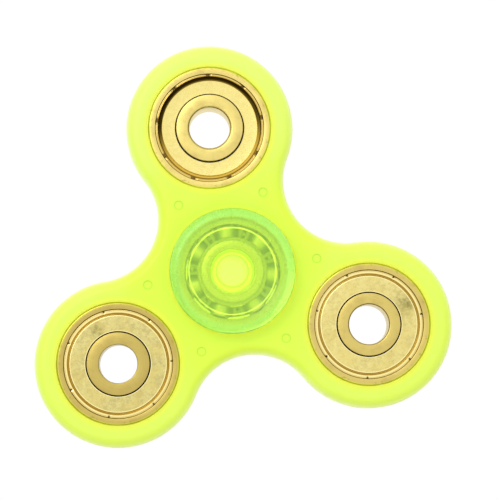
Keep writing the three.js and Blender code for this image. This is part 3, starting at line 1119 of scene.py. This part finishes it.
# %% Gold shields
def gold_shield(name, light, dark, warm, rim, flecks, pressing, notch, smudge, roughness, rim_roughness):
    metal = Finish(f"gold_shield_{name}", AXES[name])
    radius = metal.radius()
    outside = radius.ramp(8.46, 8.6)
    blotches = metal.noise(1.1, 5.0, 0.65)
    pits = metal.noise(4.2, 3.0, 0.7)
    base = metal.blend(blotches.ramp(0.38, 0.66), light, dark)
    base = metal.blend(metal.noise(0.3, 2.0).ramp(0.44, 0.6) * 0.4, base, warm)
    base = metal.blend(pits.ramp(0.58, 0.7) * flecks, base, shade(248, 235, 170))
    base = metal.blend(pits.ramp(0.4, 0.28) * flecks, base, shade(146, 126, 72))
    across, up, spread = smudge
    smeared = metal.radius(across, up).ramp(spread, 0.2) * (1.6 * blotches - 0.3).clamped()
    base = metal.blend(smeared * 0.9, base, shade(104, 100, 44))
    # Painted light and shade: the rim is painted lighter, on the dished shield a deeper gold, than the
    # flat.
    base = metal.blend(outside, base, rim)
    base = metal.blend(radius.ramp(9.36, 9.5) * 0.8, base, shade(218, 196, 122))
    base = pressing(metal, base)
    # Painted shade in the crimped notches.
    base = metal.blend(notch_shade(metal, name, notch) * 0.85, base, shade(60, 42, 12))
    dullness = roughness + 0.08 * blotches + outside * (rim_roughness - roughness)
    return metal.finish(Base_Color=base, Metallic=1.0, Roughness=dullness, Normal=metal.bump(pits, 0.008))


finishes["gold_shield_weight1"] = gold_shield(
    "weight1", light=shade(240, 224, 142), dark=shade(231, 213, 130), warm=shade(240, 222, 132),
    rim=shade(236, 196, 80), flecks=0.3, pressing=shade_crease, notch=3.4, smudge=(5, 3, 0.3),
    roughness=0.2, rim_roughness=0.0)
finishes["gold_shield_weight2"] = gold_shield(
    "weight2", light=shade(216, 204, 132), dark=shade(194, 181, 118), warm=shade(214, 194, 110),
    rim=shade(232, 206, 128), flecks=0.5, pressing=shade_groove, notch=1.2, smudge=(-3, 6.5, 2),
    roughness=0.4, rim_roughness=0.2)
finishes["gold_shield_weight3"] = gold_shield(
    "weight3", light=shade(231, 217, 140), dark=shade(212, 197, 126), warm=shade(226, 206, 120),
    rim=shade(246, 226, 150), flecks=0.5, pressing=shade_groove, notch=1.3, smudge=(7, 2.6, 3.2),
    roughness=0.4, rim_roughness=0.2)
print(len(finishes), "finishes so far")

# %% [markdown]
# ## Bare steel
# The centre bearing is plain steel: polished balls, ground rings and a duller pressed cage. Where
# it lies deeper inside the bearing it is painted darker and greener, as painted shade, because
# less light reaches it through the cap.


# %% Bare steel
def bare_steel(name, light, dark, roughness, scale, shade_colour=None, shallow=0, deep=0, shade_within=None):
    """Steel that may carry painted shade below a height and, where that is given, within a radius."""
    metal = Finish(name)
    cloud = metal.noise(scale, 4.0)
    base = metal.blend(cloud, light, dark)
    if shade_colour:
        # Painted shade: deeper inside, the steel is painted darker and greener.
        deep_shade = metal.level().ramp(shallow, deep)
        if shade_within:
            deep_shade = deep_shade * metal.radius().ramp(shade_within, shade_within - 0.8)
        base = metal.blend(deep_shade, base, shade_colour)
    return metal.finish(
        Base_Color=base, Metallic=1.0, Roughness=roughness + 0.1 * cloud,
        Normal=metal.bump(metal.noise(scale * 4, 3.0), 0.006))


finishes["centre_ring_steel"] = bare_steel(
    "centre_ring_steel", light=shade(205, 203, 196), dark=shade(192, 190, 182), roughness=0.22, scale=0.6,
    shade_colour=shade(160, 166, 136), shallow=2.5, deep=2.3, shade_within=7.8)
finishes["cage_steel"] = bare_steel(
    "cage_steel", light=shade(212, 212, 200), dark=shade(200, 200, 188), roughness=0.45, scale=0.9,
    shade_colour=shade(164, 176, 134), shallow=2.28, deep=1.85)
finishes["ball_steel"] = bare_steel(
    "ball_steel", light=shade(238, 238, 240), dark=shade(228, 228, 230), roughness=0.25, scale=0.5)
print(len(finishes), "finishes")

# %% [markdown]
# Pieces of one kind share a slot, which names their finish for anyone who repaints the part. The
# three weights share the two gold slots, though each has its own shade.


# %% Give every piece its finish
def slot_of(node):
    if node == "spinner_body":
        return "body_plastic"
    if node.endswith("_cap"):
        return "cap_plastic"
    if "_ball_" in node:
        return "ball_steel"
    if node.endswith("cage_half"):
        return "cage_steel"
    if node.startswith("centre_"):
        return "centre_ring_steel"
    return "gold_shield" if node.endswith("_shield") else "gold_ring"


for node, piece in pieces.items():
    slot = slot_of(node)
    finish = f"{slot}_{node.split('_')[0]}" if slot.startswith("gold") else slot
    piece.data.materials.clear()
    piece.data.materials.append(finishes[finish])
print("slots:", sorted({slot_of(node) for node in pieces}))

# %% [markdown]
# ## Studio
# The spinner lies on a light table: a plain white floor that glows evenly, so nothing casts a
# hard shadow and the plastic is lit from below as well. The floor reflects nothing of its own.

# %% Light table
FLOOR_HALF = 1500
TABLE_GLOW = 1.02
deselect_all()
bpy.ops.mesh.primitive_plane_add(size=2 * FLOOR_HALF * MM, location=(0, 0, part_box("lower_cap")[0].z))
floor = bpy.context.active_object
floor.name = "light_table"
bpy.ops.object.transform_apply(location=True, rotation=True, scale=True)
table = Finish("light_table")
paper = table.blend(table.noise(0.01), (1.0, 1.0, 1.0, 1.0), (0.99, 0.99, 0.99, 1.0))
floor.data.materials.append(table.finish(
    Base_Color=(0.0, 0.0, 0.0, 1.0), Specular_IOR_Level=0.0, Emission_Color=paper,
    Emission_Strength=TABLE_GLOW))
report(floor)

# %% [markdown]
# The dome overhead is brightest straight above and darker lower down, which gives the sloping
# metal something to mirror. Its skirt is nearly black on one side and light on the other, so that
# a dished wall looks dark where it faces one and bright where it faces the other.

# %% Dome of light
ZENITH, SHOULDER_GLOW = 1.05, 0.3
DARK_SIDE, LIGHT_SIDE = 0.02, 0.9
world = bpy.data.worlds.new("studio_dome")
world.use_nodes = True
bpy.context.scene.world = world
dome = Nodes(world.node_tree)
toward = dome.node("TexCoord", {}, {}, "Generated")
height = dome.node("SeparateXYZ", {}, {0: toward}, "Z")
side = dome.node("SeparateXYZ", {}, {0: toward}, "Y")
skirt = DARK_SIDE + (LIGHT_SIDE - DARK_SIDE) * side.ramp(-0.1, 0.8)
low = skirt + (SHOULDER_GLOW - skirt) * height.ramp(0.3, 0.5)
level = low + (ZENITH - low) * height.ramp(0.5, 0.75)
dome.feed(dome.tree.nodes["Background"].inputs["Strength"], level)
dome.feed(dome.tree.nodes["Background"].inputs["Color"], (1.0, 1.0, 1.0, 1.0))
bpy.context.scene.view_settings.view_transform = "Standard"
print("dome:", len(dome.tree.nodes), "nodes")

# %% [markdown]
# One large soft lamp, high and to the side, adds a gentle direction to the light, so that the
# rounded edges and the rings' corners have a bright and a less bright side.

# %% Soft key light
KEY_PLACE = (-0.25, 0.35, 0.7)
deselect_all()
bpy.ops.object.light_add(type="AREA", location=KEY_PLACE)
key = bpy.context.active_object
key.name = "soft_key"
key.data.shape = "DISK"
key.data.size = 0.5
key.data.energy = 1.2
key.rotation_euler = Vector(KEY_PLACE).to_track_quat("Z", "Y").to_euler()
print(f"key light {Vector(KEY_PLACE).length:.2f} m away")

# %% [markdown]
# ## Camera
# A long lens from almost straight above keeps the lobes nearly round. The camera's axes are
# worked out from its tilt, lean and roll, and it is slid sideways to place the spinner in the
# frame.

# %% Camera
DISTANCE = 450
TILT = math.radians(4)
LEAN = math.radians(1.2)
ROLL = math.radians(-9)
SLIDE = (3.05, 4.11)
LENS = 180.5
right = Vector((math.cos(ROLL), math.sin(ROLL), 0))
ahead = Vector((-math.sin(ROLL), math.cos(ROLL), 0))
back = (Vector((0, 0, 1)) - ahead * math.tan(TILT) - right * math.tan(LEAN)).normalized()
right = ahead.cross(back).normalized()
up = back.cross(right)
eye = (back * DISTANCE + right * SLIDE[0] + up * SLIDE[1]) * MM
deselect_all()
bpy.ops.object.camera_add(location=eye)
camera = bpy.context.active_object
camera.name = "overhead_camera"
camera.data.lens = LENS
camera.data.sensor_fit = "HORIZONTAL"
camera.data.clip_start = 0.01
camera.matrix_world = Matrix.Translation(eye) @ Matrix((right, up, back)).transposed().to_4x4()
bpy.context.scene.camera = camera
print("camera at", [round(value, 4) for value in eye])
